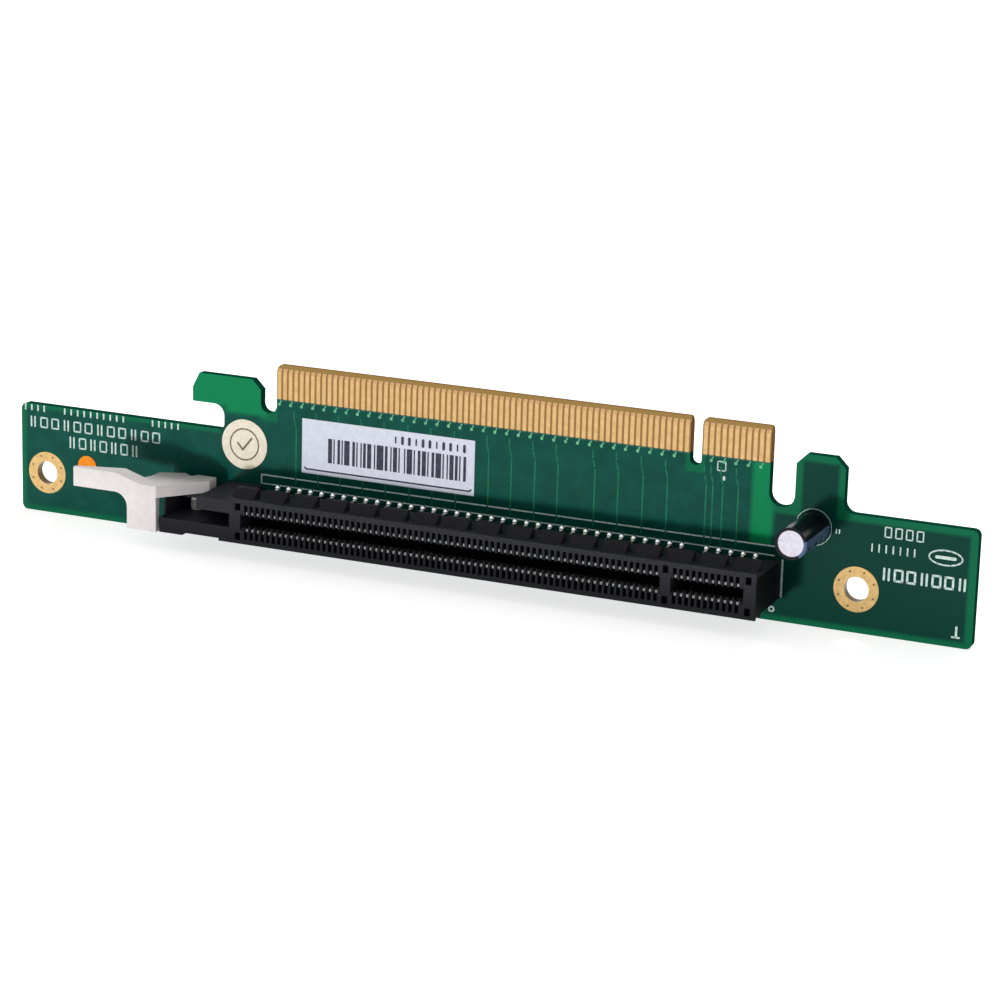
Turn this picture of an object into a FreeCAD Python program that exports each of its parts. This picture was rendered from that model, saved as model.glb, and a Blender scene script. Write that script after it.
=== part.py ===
"""PCI Express x16 riser card: a flat circuit board with edge fingers along its top, a x16 card slot
across its face, a card latch at the slot's end, one capacitor, and two plated screw holes.

Frame, in millimetres: the origin is midway between the two screw holes, on the board's component
face. +X runs along the board, +Z points up to the edge fingers, and the component face looks to -Y.
"""
import FreeCAD, Part
import math
import os

V = FreeCAD.Vector

# ---------------------------------------------------------------- driving dimensions
# board
board_thickness = 1.57
board_left = 75.8                 # screw-hole midpoint to the left edge
board_right = 89.2                # screw-hole midpoint to the right edge
board_below = 6.8                 # screw-hole line to the bottom edge
shoulder_height = 11.55           # screw-hole line to the shoulders
corner_radius = 1.0

screw_spacing = 141.8
screw_hole_radius = 1.95
ring_radius = 3.55
plating = 0.05

# edge contact tongue
key_x = 44.4                      # middle of the key notch
tongue_top = 23.45                # tip of the fingers above the screw-hole line
tongue_overhang = 0.5             # board beyond the middle of the outermost finger
tongue_corner = 0.8
key_width = 1.9
key_depth = 7.5
bevel_height = 1.1
bevel_angle = 20.0
contact_pitch = 1.0
key_to_contact = 1.5              # middle of the key to the nearest contact, either side
contacts_short = 11               # contacts on the short side of the key
contacts_long = 71                # contacts on the long side of the key
finger_width = 0.72
finger_length = 4.75
finger_thickness = 0.05

# retention tabs beside the tongue
hook_gap = 2.9                    # relief slot between the hook tab and the tongue
hook_gap_depth = 8.2
hook_width = 12.55
hook_top = 20.5
hook_notch_top = 15.7             # upper edge of the notch under the hook
hook_notch_reach = 5.85           # notch end, inward from the hook's outer side
hook_notch_radius = 1.9
guide_gap = 4.1                   # relief slot between the tongue and the guide tab
guide_gap_below_shoulder = 0.35
guide_width = 7.75
guide_top = 19.9
tab_chamfer = 1.6
guide_fillet = 1.7

# slot connector
slot_line = -0.17                 # height of the slot's centre line
housing_length = 89.0
housing_width = 7.24
housing_height = 11.25
card_opening = 1.9
lead_in = 0.45
opening_overhang = 1.0            # card opening beyond the middle of the outermost contact
card_opening_depth = 8.4
comb_depth = 8.0                  # the walls between the contact cavities
cavity_width = 0.6
cavity_reach = 2.82               # outer side of a contact cavity from the centre line
pocket_width = 0.95
pocket_height = 1.2
pocket_depth = 1.6
pocket_level = 2.42               # middle of a mould pocket from the centre line
pocket_end_gap = 0.25             # last pocket beyond the card opening
collar_thickness = 0.5            # full-width rim around the mating face
collar_start = 1.9                # rim before the housing's end, on the bracket
body_width = 6.1                  # the housing behind the rim
rib_count = 17
rib_gap = 1.38
rib_width = 8.9                   # over the ribs of both sides
rib_root = 0.3                    # a rib's foot inside the housing's wall
rib_start = 1.05                  # first rib, before the housing's end and on the bracket
rib_end = 0.9                     # last rib, short of the housing's other end
rib_slope_set_back = 2.8          # mating face to the ribs' slope
rib_crest_set_back = 4.45
rib_back_set_back = 5.2
standoff = 2.15
foot_length = 2.4
foot_width = 5.8
peg_radius = 1.1
peg_clearance = 0.08
peg_reach = 1.3

# contacts of the slot
pin_row_inner = 1.25
pin_row_outer = 3.25
contact_width = 0.46
contact_metal = 0.24
contact_tip_level = 1.5
contact_touch_level = 0.7         # where the spring presses on a card
contact_tip_set_back = 0.5        # tip behind the mating face
contact_touch_set_back = 2.3
joint_height = 1.2                # solder joint beyond the board's solder side
joint_base = 1.2

# latch bracket at the slot's far end
bracket_length = 12.8
bracket_width = 6.4
bracket_channel = 2.3             # way for the card's own hook
bracket_floor = 2.0
bracket_toe = 4.2                 # full-width end of the lower arm
cheek_shelf_length = 6.8          # part of the upper arm that the latch lies over
cheek_shelf_height = 5.6

# latch
latch_gap = 0.15                  # play between latch and bracket
latch_end_gap = 0.45              # latch web beyond the bracket's end
latch_pin_radius = 1.1
latch_pin_play = 0.05
pivot_from_end = 2.7              # bracket's end to the pivot
pivot_height = 3.4                # pivot above the board
latch_pin_reach = 2.6             # pin's lower end below the centre line
cheek_thickness = 1.9
web_width = 5.35
web_thickness = 1.2
web_proud = 0.35                  # web in front of the housing's mating face
web_below = 0.06                  # web below the housing's lower side
cheek_proud = 0.3                 # cheek above the housing's upper side
handle_length = 10.0
handle_height = 3.2
handle_tip_thickness = 0.8
handle_root_thickness = 3.2
handle_fillet = 2.3
handle_slope_start = 2.1          # slope's start, outward from the web's outer side
handle_slope_end = 2.6            # slope's end, inward from it
cheek_back_gap = 1.5              # cheek above the board
cheek_nose = 5.75                 # cheek beyond the web, towards the slot
cheek_nose_set_back = 7.2

# capacitor
can_radius = 2.5
can_height = 10.8
can_x = 63.7
can_z = 8.75
sleeve_thickness = 0.12
sleeve_lip = 0.35
can_groove_height = 2.2
can_groove_depth = 0.3
bung_height = 1.2
lead_spacing = 2.0
lead_radius = 0.25

# labels
label_thickness = 0.1
barcode_width = 30.5
barcode_height = 9.0
barcode_x = -7.65
barcode_z = 10.7
round_sticker_radius = 4.14
round_sticker_x = -33.4
round_sticker_z = 9.55
dot_radius = 1.75
dot_x = -63.1
dot_z = 2.1

# ---------------------------------------------------------------- places worked out from them
face_y = 0.0
back_y = face_y + board_thickness
tongue_left = key_x - key_to_contact - (contacts_long - 1) * contact_pitch - tongue_overhang
tongue_right = key_x + key_to_contact + (contacts_short - 1) * contact_pitch + tongue_overhang
hook_right = tongue_left - hook_gap
hook_left = hook_right - hook_width
hook_notch_end = hook_left + hook_notch_reach
guide_left = tongue_right + guide_gap
guide_right = guide_left + guide_width

opening_left = key_x - key_to_contact - (contacts_long - 1) * contact_pitch - opening_overhang
opening_right = key_x + key_to_contact + (contacts_short - 1) * contact_pitch + opening_overhang
housing_wall = (housing_length - (opening_right - opening_left)) / 2
housing_left = opening_left - housing_wall
housing_right = opening_right + housing_wall
mating_y = face_y - housing_height
half_width = housing_width / 2
base_y = face_y - standoff
key_bar = 2 * (key_to_contact - opening_overhang) + 0.7

bracket_left = housing_left - bracket_length
half_bracket = bracket_width / 2
pivot_x = bracket_left + pivot_from_end
pivot_y = face_y - pivot_height
cheek_high = slot_line + half_width + cheek_proud
cheek_low = cheek_high - cheek_thickness
shelf_top = cheek_low - latch_gap
shelf_right = bracket_left + cheek_shelf_length
web_right = bracket_left - latch_end_gap
web_left = web_right - web_width
web_front = mating_y - web_proud
web_back = web_front + web_thickness
handle_low = cheek_low + 0.1
handle_high = handle_low + handle_height
handle_left = web_left - handle_length


# ---------------------------------------------------------------- helpers
def box(x0, x1, y0, y1, z0, z1):
    """A box between two corners, given axis by axis."""
    return Part.makeBox(x1 - x0, y1 - y0, z1 - z0, V(x0, y0, z0))


def round_bar(x, z, radius, y0, y1):
    """A cylinder along Y."""
    return Part.makeCylinder(radius, y1 - y0, V(x, y0, z), V(0, 1, 0))


def outline(corners, place):
    """A closed face through (a, b, radius) corners; place turns (a, b) into a point in space."""
    edges = []
    ends = []
    for i, (a, b, radius) in enumerate(corners):
        here = V(a, b, 0)
        before = V(*corners[i - 1][:2], 0) - here
        after = V(*corners[(i + 1) % len(corners)][:2], 0) - here
        if radius == 0:
            ends.append((here, None, here))
            continue
        before.normalize()
        after.normalize()
        half = before.getAngle(after) / 2
        inward = before + after
        inward.normalize()
        reach = radius / math.tan(half)
        middle = here + inward * (radius / math.sin(half) - radius)
        ends.append((here + before * reach, middle, here + after * reach))
    for i, (start, middle, end) in enumerate(ends):
        if middle is not None:
            arc = Part.Arc(place(start), place(middle), place(end))
            edges.append(arc.toShape())
        following = ends[(i + 1) % len(ends)][0]
        if (following - end).Length > 1e-6:
            edges.append(Part.makeLine(place(end), place(following)))
    return Part.Face(Part.Wire(edges))


def upright_plate(corners, y0, y1):
    """A plate with its outline in X and Z, from y0 to y1."""
    face = outline(corners, lambda p: V(p.x, y0, p.y))
    return face.extrude(V(0, y1 - y0, 0))


def level_plate(corners, z0, z1):
    """A plate with its outline in X and Y, from z0 to z1."""
    face = outline(corners, lambda p: V(p.x, p.y, z0))
    return face.extrude(V(0, 0, z1 - z0))


def side_profile(points, x0, x1):
    """A bar along X with its section in Y and Z."""
    ring = [V(x0, y, z) for y, z in points]
    return Part.Face(Part.makePolygon(ring + ring[:1])).extrude(V(x1 - x0, 0, 0))


def mirrored_about_slot(shape):
    """The same shape on the other side of the slot's centre line."""
    return shape.mirror(V(0, 0, slot_line), V(0, 0, 1))


def contact_places():
    """Every contact's number and X, counted from the end of the short side."""
    short = [key_x + key_to_contact + i * contact_pitch for i in range(contacts_short)]
    long = [key_x - key_to_contact - i * contact_pitch for i in range(contacts_long)]
    return list(enumerate(short[::-1] + long, start=1))


def save(name, shapes):
    """Write one node, from a solid or a list of like solids."""
    shape = shapes if not isinstance(shapes, list) else Part.makeCompound(shapes)
    shape.exportStep(os.path.join("parts", name + ".step"))
    print(name, len(shape.Solids), "solids", round(shape.Volume, 2), "mm3", shape.isValid())


# ---------------------------------------------------------------- circuit board
def circuit_board():
    top = tongue_top
    gap_bottom = top - hook_gap_depth
    guide_bottom = shoulder_height - guide_gap_below_shoulder
    key_left = key_x - key_width / 2
    key_right = key_x + key_width / 2
    full_gap = hook_gap / 2 - 0.01
    full_guide = guide_gap / 2 - 0.01
    full_key = key_width / 2 - 0.01
    corners = [
        (-board_left, -board_below, corner_radius),
        (-board_left, shoulder_height, corner_radius),
        (hook_notch_end, shoulder_height, corner_radius),
        (hook_notch_end, hook_notch_top, hook_notch_radius),
        (hook_left, hook_notch_top, 0),
        (hook_left, hook_top - 1.5 * tab_chamfer, 0),
        (hook_left + 0.75 * tab_chamfer, hook_top, 0),
        (hook_right - tab_chamfer, hook_top, 0),
        (hook_right, hook_top - tab_chamfer, 0),
        (hook_right, gap_bottom, full_gap),
        (tongue_left, gap_bottom, full_gap),
        (tongue_left, top, tongue_corner),
        (key_left, top, tongue_corner / 2),
        (key_left, top - key_depth, full_key),
        (key_right, top - key_depth, full_key),
        (key_right, top, tongue_corner),
        (tongue_right, top, tongue_corner / 2),
        (tongue_right, guide_bottom, full_guide),
        (guide_left, guide_bottom, full_guide),
        (guide_left, guide_top - tab_chamfer, 0),
        (guide_left + tab_chamfer, guide_top, 0),
        (guide_right - tab_chamfer, guide_top, 0),
        (guide_right, guide_top - tab_chamfer, 0),
        (guide_right, shoulder_height, guide_fillet),
        (board_right, shoulder_height, corner_radius),
        (board_right, -board_below, corner_radius),
    ]
    board = upright_plate(corners, face_y, back_y)
    bevel_depth = bevel_height * math.tan(math.radians(bevel_angle))
    low = top - bevel_height
    span = (tongue_left - 1, tongue_right + 1)
    front_bevel = side_profile([(face_y, low), (face_y - 1, low), (face_y - 1, top + 1),
                                (face_y + bevel_depth, top + 1), (face_y + bevel_depth, top)], *span)
    back_bevel = side_profile([(back_y, low), (back_y + 1, low), (back_y + 1, top + 1),
                               (back_y - bevel_depth, top + 1), (back_y - bevel_depth, top)], *span)
    holes = [round_bar(side * screw_spacing / 2, 0, screw_hole_radius + plating, face_y - 1, back_y + 1)
             for side in (-1, 1)]
    holes += [round_bar(x, slot_line, peg_radius + peg_clearance, face_y - 1, back_y + 1)
              for x in peg_places()]
    holes += [round_bar(x, can_z, lead_radius + plating, face_y - 1, back_y + 1) for x in lead_places()]
    return board.cut(Part.makeCompound([front_bevel, back_bevel] + holes))


def edge_fingers(y0, y1):
    """One row of fingers, on one face of the tongue."""
    high = tongue_top - bevel_height
    fingers = []
    for _, x in contact_places():
        fingers.append(box(x - finger_width / 2, x + finger_width / 2, y0, y1, high - finger_length, high))
    return fingers


def plated_hole(x):
    """The lining of a screw hole, with its ring on each face."""
    lining = round_bar(x, 0, screw_hole_radius + plating, face_y, back_y)
    rings = [round_bar(x, 0, ring_radius, face_y - plating, face_y),
             round_bar(x, 0, ring_radius, back_y, back_y + plating)]
    hole = round_bar(x, 0, screw_hole_radius, face_y - 1, back_y + 1)
    return lining.fuse(rings).cut(hole).removeSplitter()


# ---------------------------------------------------------------- slot housing
def peg_places():
    return [key_x, housing_left - foot_length]


def comb_opening(left, right):
    """The card opening of one stretch, the contact cavities that open into it on both sides, and the
    trough below each row of cavities, where the contacts' tails leave."""
    half_opening = card_opening / 2
    half_cavity = cavity_width / 2
    opening = box(left, right, mating_y, mating_y + card_opening_depth,
                  slot_line - half_opening, slot_line + half_opening)
    mouth = side_profile([(mating_y, slot_line + half_opening + lead_in),
                          (mating_y + lead_in, slot_line + half_opening),
                          (mating_y + lead_in, slot_line - half_opening),
                          (mating_y, slot_line - half_opening - lead_in)], left, right)
    places = [x for _, x in contact_places() if left < x < right]
    cavities = [box(x - half_cavity, x + half_cavity, mating_y, mating_y + comb_depth,
                    slot_line - cavity_reach, slot_line + cavity_reach) for x in places]
    troughs = [box(min(places) - half_cavity, max(places) + half_cavity,
                   mating_y + comb_depth, base_y, slot_line + low, slot_line + high)
               for low, high in ((-cavity_reach, -half_opening), (half_opening, cavity_reach))]
    return [opening, mouth] + cavities + troughs


def side_ribs():
    """The row of blocks along one long side of the housing."""
    pitch = (housing_length + rib_start - rib_end + rib_gap) / rib_count
    wall = slot_line + body_width / 2
    crest = slot_line + rib_width / 2
    front = mating_y + rib_slope_set_back
    back = mating_y + rib_back_set_back
    ribs = []
    for i in range(rib_count):
        left = housing_left - rib_start + i * pitch
        ribs.append(side_profile([(front, wall - rib_root), (front, wall), (mating_y + rib_crest_set_back, crest),
                                  (back, crest), (back, wall - rib_root)], left, left + pitch - rib_gap))
    return ribs


def mould_pockets():
    """Square pockets in the mating face: at both ends and beside the key, in both contact rows."""
    places = [opening_left - pocket_width / 2, key_x, opening_right + pocket_width / 2 + pocket_end_gap]
    return [box(x - pocket_width / 2, x + pocket_width / 2, mating_y, mating_y + pocket_depth,
                slot_line + side * pocket_level - pocket_height / 2,
                slot_line + side * pocket_level + pocket_height / 2)
            for x in places for side in (-1, 1)]


def latch_bracket():
    """Two arms and a floor that carry the latch, open in the middle for the card's hook."""
    low, high = slot_line - half_bracket, slot_line + half_bracket
    half_channel = bracket_channel / 2
    toe = box(bracket_left, bracket_left + bracket_toe, mating_y, face_y, slot_line - half_width, slot_line)
    block = box(bracket_left, housing_left, mating_y, face_y, low, high).fuse(toe)
    channel = box(bracket_left - 1, housing_left, mating_y - 1, face_y - bracket_floor,
                  slot_line - half_channel, slot_line + half_channel)
    over_shelf = box(bracket_left - 1, shelf_right, mating_y - 1, face_y + 1, shelf_top, high + 1)
    above_shelf = box(bracket_left - 1, shelf_right, mating_y - 1, face_y - cheek_shelf_height,
                      slot_line + half_channel, high + 1)
    pin_hole = Part.makeCylinder(latch_pin_radius + latch_pin_play, latch_pin_reach + latch_gap + high,
                                 V(pivot_x, pivot_y, slot_line - latch_pin_reach - latch_gap), V(0, 0, 1))
    return block.cut(Part.makeCompound([channel, over_shelf, above_shelf, pin_hole]))


def slot_housing():
    half_body = body_width / 2
    collar = box(housing_left, housing_right, mating_y, mating_y + collar_thickness,
                 slot_line - half_width, slot_line + half_width)
    rail = box(housing_left - collar_start, housing_left, mating_y, mating_y + collar_thickness,
               slot_line - half_width, slot_line - bracket_channel)
    body = box(housing_left, housing_right, mating_y, base_y, slot_line - half_body, slot_line + half_body)
    ribs = side_ribs()
    ribs += [mirrored_about_slot(rib) for rib in ribs]
    foot = box(housing_right - foot_length, housing_right, base_y, face_y,
               slot_line - foot_width / 2, slot_line + foot_width / 2)
    pegs = [round_bar(x, slot_line, peg_radius, base_y - 0.5, face_y + peg_reach) for x in peg_places()]
    housing = collar.fuse([rail, body, latch_bracket(), foot] + ribs + pegs)
    half_bar = key_bar / 2
    openings = comb_opening(opening_left, key_x - half_bar) + comb_opening(key_x + half_bar, opening_right)
    return housing.cut(Part.makeCompound(openings + mould_pockets())).removeSplitter()


# ---------------------------------------------------------------- slot contacts
def spring_contact(x, side, row):
    """One contact: a spring that bows into the card opening and tapers down to its pin row."""
    half_metal = contact_metal / 2
    touch_y = mating_y + contact_touch_set_back
    points = [(mating_y + contact_tip_set_back, contact_tip_level), (touch_y, contact_touch_level),
              (face_y, row - half_metal), (face_y, row + half_metal),
              (touch_y, contact_touch_level + contact_metal)]
    return side_profile([(y, slot_line + side * z) for y, z in points],
                        x - contact_width / 2, x + contact_width / 2)


def solder_joint(x, z, across=joint_base):
    """The pointed solder around one pin's end, on the board's far face."""
    half = across / 2
    peak = V(x, back_y + joint_height, z)
    ring = [V(x - half, back_y, z - half), V(x + half, back_y, z - half),
            V(x + half, back_y, z + half), V(x - half, back_y, z + half)]
    sides = [Part.Face(Part.makePolygon([ring[i - 1], ring[i], peak, ring[i - 1]])) for i in range(4)]
    base = Part.Face(Part.makePolygon(ring + ring[:1]))
    joint = Part.Solid(Part.Shell(sides + [base]))
    return joint if joint.Volume > 0 else joint.reversed()


def contact_group(side, outer):
    """Every second contact of one side: those whose pins stand in the outer or the inner row."""
    row = pin_row_outer if outer else pin_row_inner
    parity = 0 if outer == (side > 0) else 1
    places = [x for number, x in contact_places() if number % 2 == parity]
    contacts = [spring_contact(x, side, row) for x in places]
    joints = [solder_joint(x, slot_line + side * row) for x in places]
    return contacts, joints


# ---------------------------------------------------------------- latch
def card_latch():
    low_end = slot_line - half_width - web_below
    step = web_left + handle_slope_end
    slope_start = web_left - handle_slope_start
    front = upright_plate([(handle_left, handle_low, 0), (handle_left, handle_high, 0),
                           (slope_start, handle_high, 1.0), (step, cheek_high, 1.0),
                           (web_right, cheek_high, 0), (web_right, low_end, 0), (web_left, low_end, 0),
                           (web_left, handle_low, handle_fillet)], web_front, web_back)
    thumb = level_plate([(handle_left, web_front + handle_tip_thickness, 0),
                         (handle_left, web_front + 0.1, 0), (step, web_front + 0.1, 0),
                         (step, web_front + handle_root_thickness, 0),
                         (slope_start, web_front + handle_root_thickness, 0)],
                        handle_low, handle_high)
    taper = side_profile([(web_front - 1, cheek_high), (web_back + 9, cheek_high),
                          (web_back + 9, handle_high + 1), (web_front - 1, handle_high + 1)],
                         step, step + 20)
    slope = upright_plate([(slope_start, handle_high, 0), (slope_start, handle_high + 3, 0),
                           (step + 5, handle_high + 3, 0), (step + 5, cheek_high, 0),
                           (step, cheek_high, 0)], web_front - 1, web_back + 9)
    tip_relief = level_plate([(handle_left - 1, web_front + handle_tip_thickness, 0),
                              (handle_left, web_front + handle_tip_thickness, 0),
                              (slope_start, web_front + handle_root_thickness, 0),
                              (slope_start, web_front + handle_root_thickness + 3, 0),
                              (handle_left - 1, web_front + handle_root_thickness + 3, 0)],
                             handle_low - 1, handle_high + 1)
    back = face_y - cheek_back_gap
    nose = web_right + cheek_nose
    cheek = level_plate([(web_left, web_front, 0), (web_right, web_front, 0), (web_right + 0.3, mating_y, 0),
                         (nose, mating_y + cheek_nose_set_back, 0.4), (nose, back, 0.5),
                         (web_right + 2.2, back, 0.4), (web_right + 1.6, back - 1.2, 0.3),
                         (web_right - 0.2, back, 0.4), (web_left + 1.2, back - 1.6, 0.4),
                         (web_left + 1.2, back - 4.5, 0.4), (web_left, web_front + handle_root_thickness, 0)],
                        cheek_low, cheek_high)
    pin = Part.makeCylinder(latch_pin_radius, cheek_low + 0.2 - (slot_line - latch_pin_reach),
                            V(pivot_x, pivot_y, slot_line - latch_pin_reach), V(0, 0, 1))
    latch = front.fuse([thumb, cheek, pin]).cut(Part.makeCompound([taper, slope, tip_relief]))
    return latch.removeSplitter()


# ---------------------------------------------------------------- capacitor
def turned(points):
    """A solid of revolution about the capacitor's axis, from (radius, height) points."""
    ring = [V(can_x + r, face_y - h, can_z) for r, h in points]
    face = Part.Face(Part.makePolygon(ring + ring[:1]))
    return face.revolve(V(can_x, face_y, can_z), V(0, 1, 0), 360)


def capacitor_can():
    inner = can_radius - sleeve_thickness
    groove = inner - can_groove_depth
    top = can_height - sleeve_thickness
    return turned([(0, bung_height), (groove, bung_height), (groove, can_groove_height),
                   (inner, can_groove_height + 0.5), (inner, top), (0, top)])


def capacitor_sleeve():
    inner = can_radius - sleeve_thickness
    groove = inner - can_groove_depth
    lip = inner - sleeve_lip
    return turned([(can_radius, 0), (groove + sleeve_thickness, can_groove_height),
                   (can_radius, can_groove_height + 0.5), (can_radius, can_height), (lip, can_height),
                   (lip, can_height - sleeve_thickness), (inner, can_height - sleeve_thickness),
                   (inner, can_groove_height + 0.5), (groove, can_groove_height), (inner, 0)])


def capacitor_bung():
    return turned([(0, 0), (can_radius - can_groove_depth - sleeve_thickness, 0),
                   (can_radius - can_groove_depth - sleeve_thickness, bung_height), (0, bung_height)])


def lead_places():
    return [can_x + side * lead_spacing / 2 for side in (-1, 1)]


def capacitor_leads():
    return [round_bar(x, can_z, lead_radius, face_y, back_y) for x in lead_places()]


def capacitor_solder():
    return [solder_joint(x, can_z, joint_base * 1.3) for x in lead_places()]


# ---------------------------------------------------------------- labels
def barcode_label():
    half_w, half_h = barcode_width / 2, barcode_height / 2
    return box(barcode_x - half_w, barcode_x + half_w, face_y - label_thickness, face_y,
               barcode_z - half_h, barcode_z + half_h)


def round_label(x, z, radius):
    return round_bar(x, z, radius, face_y - label_thickness, face_y)


# ---------------------------------------------------------------- write every node
def main():
    os.makedirs("parts", exist_ok=True)
    save("circuit_board", circuit_board())
    save("edge_fingers_front", edge_fingers(face_y - finger_thickness, face_y))
    save("edge_fingers_back", edge_fingers(back_y, back_y + finger_thickness))
    save("screw_ring_left", plated_hole(-screw_spacing / 2))
    save("screw_ring_right", plated_hole(screw_spacing / 2))
    save("slot_housing", slot_housing())
    for side, side_name in ((1, "upper"), (-1, "lower")):
        for outer, row_name in ((True, "outer"), (False, "inner")):
            contacts, joints = contact_group(side, outer)
            save("contacts_" + side_name + "_" + row_name, contacts)
            save("solder_" + side_name + "_" + row_name, joints)
    save("card_latch", card_latch())
    save("capacitor_can", capacitor_can())
    save("capacitor_sleeve", capacitor_sleeve())
    save("capacitor_bung", capacitor_bung())
    save("capacitor_leads", capacitor_leads())
    save("capacitor_solder", capacitor_solder())
    save("barcode_label", barcode_label())
    save("inspection_sticker", round_label(round_sticker_x, round_sticker_z, round_sticker_radius))
    save("dot_sticker", round_label(dot_x, dot_z, dot_radius))


main()
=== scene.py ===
# %% [markdown]
# # Riser card with a sixteen-lane slot
#
# This scene dresses a measured model of a riser card: a flat circuit board with gold edge fingers along
# its top, a black card slot across its face, an off-white latch at the slot's end and one capacitor.
# The frame is the model's own: metres, with the origin midway between the two screw holes on the
# component face. +X runs along the board, +Z points to the edge fingers, and the components face -Y.

import math

import bpy
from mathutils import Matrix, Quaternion, Vector


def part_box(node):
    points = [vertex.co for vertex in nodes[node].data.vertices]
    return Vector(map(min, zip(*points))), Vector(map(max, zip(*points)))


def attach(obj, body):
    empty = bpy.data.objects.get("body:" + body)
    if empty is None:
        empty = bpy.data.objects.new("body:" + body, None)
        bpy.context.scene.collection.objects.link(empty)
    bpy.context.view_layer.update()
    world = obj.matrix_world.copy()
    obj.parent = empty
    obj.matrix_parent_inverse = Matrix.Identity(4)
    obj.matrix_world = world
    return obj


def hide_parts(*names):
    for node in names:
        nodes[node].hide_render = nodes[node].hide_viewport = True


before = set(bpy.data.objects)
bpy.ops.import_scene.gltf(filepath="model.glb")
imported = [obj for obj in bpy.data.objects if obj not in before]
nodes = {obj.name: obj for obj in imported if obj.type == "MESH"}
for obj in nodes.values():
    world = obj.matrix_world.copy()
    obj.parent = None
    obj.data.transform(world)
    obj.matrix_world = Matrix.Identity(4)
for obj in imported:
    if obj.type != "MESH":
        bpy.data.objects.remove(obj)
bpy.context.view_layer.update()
mm = 0.001


# %% [markdown]
# ## Places read from the model
#
# A detail that belongs to a piece, such as the print on a label, starts from that piece's own box, so it
# follows the piece if it moves. The slot's contacts stand at a pitch of 1 mm on both sides of a key: 11
# on the short side and 71 on the long one.

# %% Read the places that the details hang on
board_low, board_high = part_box("circuit_board")
fingers_low, fingers_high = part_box("edge_fingers_front")
housing_low, housing_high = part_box("slot_housing")
upper_low, upper_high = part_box("contacts_upper_outer")
lower_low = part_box("contacts_lower_outer")[0]
label_low, label_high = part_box("barcode_label")
sticker_low, sticker_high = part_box("inspection_sticker")
can_low, can_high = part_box("capacitor_sleeve")
face = 0.0
can_x = (can_low.x + can_high.x) / 2
can_z = (can_low.z + can_high.z) / 2
print("slot from", round(housing_low.x / mm, 2), "to", round(housing_high.x / mm, 2), "mm along the board")

# %% [markdown]
# ## The contacts' places
#
# The last finger starts the row, and all the others are counted from it, first to the key and then past
# it. One list of places then serves the fingers' gold, the vias, the solder beads and the spring tabs.

# %% List the contacts along the slot
pitch = 1.0 * mm
short_side = 11
long_side = 71
half_finger = 0.36 * mm
key_to_contact = 1.5 * pitch
first_contact = fingers_high.x - half_finger
key_x = first_contact - (short_side - 1) * pitch - key_to_contact
contact_x = [first_contact - i * pitch for i in range(short_side)]
contact_x += [key_x - key_to_contact - i * pitch for i in range(long_side)]
print(len(contact_x), "contacts; key notch at", round(key_x / mm, 2), "mm")

# %% [markdown]
# ## Materials from small parts
#
# Each finish is one material with one Principled shader. Colours are written from 0 to 255, as they look
# on a screen, and turned into the linear numbers that a shader takes.

# %% Helpers for materials
def linear(red, green, blue):
    """A colour from 0 to 255 as it looks on a screen, turned into the linear numbers a shader takes."""
    shares = [v / 255 for v in (red, green, blue)]
    return tuple(s / 12.92 if s <= 0.04045 else ((s + 0.055) / 1.055) ** 2.4 for s in shares)


def material(name, colour, roughness, metallic=0.0, specular=0.5):
    """A new material with one Principled shader."""
    made = bpy.data.materials.new(name)
    made.use_nodes = True
    shader = made.node_tree.nodes["Principled BSDF"]
    shader.inputs["Base Color"].default_value = (*colour, 1)
    shader.inputs["Roughness"].default_value = roughness
    shader.inputs["Metallic"].default_value = metallic
    shader.inputs["Specular IOR Level"].default_value = specular
    return made


def shader_of(made):
    """The material's Principled shader."""
    return made.node_tree.nodes["Principled BSDF"]


def dress(name, made):
    """Gives a measured piece one material."""
    piece = nodes[name]
    piece.data.materials.clear()
    piece.data.materials.append(made)


print("a middle grey of 128 is", round(linear(128, 128, 128)[0], 3), "to a shader")

# %% [markdown]
# ## Patterns from arithmetic
#
# A pattern on the card could be painted as a picture, which would blur when seen close. Here it is worked
# out from the surface's own X, Y and Z with plain Math nodes, so it stays sharp at any distance. A few
# helpers keep the node chains short.

# %% Helpers for patterns
def feed(tree, socket, value):
    """Joins a socket to another node's output, or writes a plain number on it."""
    if isinstance(value, bpy.types.NodeSocket):
        tree.links.new(value, socket)
    else:
        socket.default_value = value


def maths(tree, operation, first, second=0.0, third=0.0):
    """One Math node."""
    node = tree.nodes.new("ShaderNodeMath")
    node.operation = operation
    for socket, value in zip(node.inputs, (first, second, third)):
        feed(tree, socket, value)
    return node.outputs["Value"]


print("arithmetic helpers: feed and maths")

# %% [markdown]
# ## Steps, blends and places
#
# Most patterns are a soft step at some place along the card, and two colours blended by it. These helpers
# say just that, and one more finds where a point lies on its nearest finger.

# %% Helpers for masks and colours
def step_up(tree, value, low, high):
    """0 below low, 1 above high, and smooth between."""
    node = tree.nodes.new("ShaderNodeMapRange")
    node.interpolation_type = "SMOOTHSTEP"
    feed(tree, node.inputs["Value"], value)
    node.inputs["From Min"].default_value = low
    node.inputs["From Max"].default_value = high
    return node.outputs["Result"]


def blend_colours(tree, share, first, second):
    """The first colour where share is 0 and the second where it is 1."""
    node = tree.nodes.new("ShaderNodeMix")
    node.data_type = "RGBA"
    feed(tree, node.inputs["Factor"], share)
    for socket, value in ((node.inputs["A"], first), (node.inputs["B"], second)):
        feed(tree, socket, value if isinstance(value, bpy.types.NodeSocket) else (*value, 1))
    return node.outputs["Result"]


def rise(tree, value, place, softness):
    """A soft step from 0 to 1 that is half way up at a place."""
    return step_up(tree, value, place - softness, place + softness)


def flip(tree, value):
    """1 less the value: what was masked is left, and what was left is masked."""
    return maths(tree, "SUBTRACT", 1.0, value)


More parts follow.
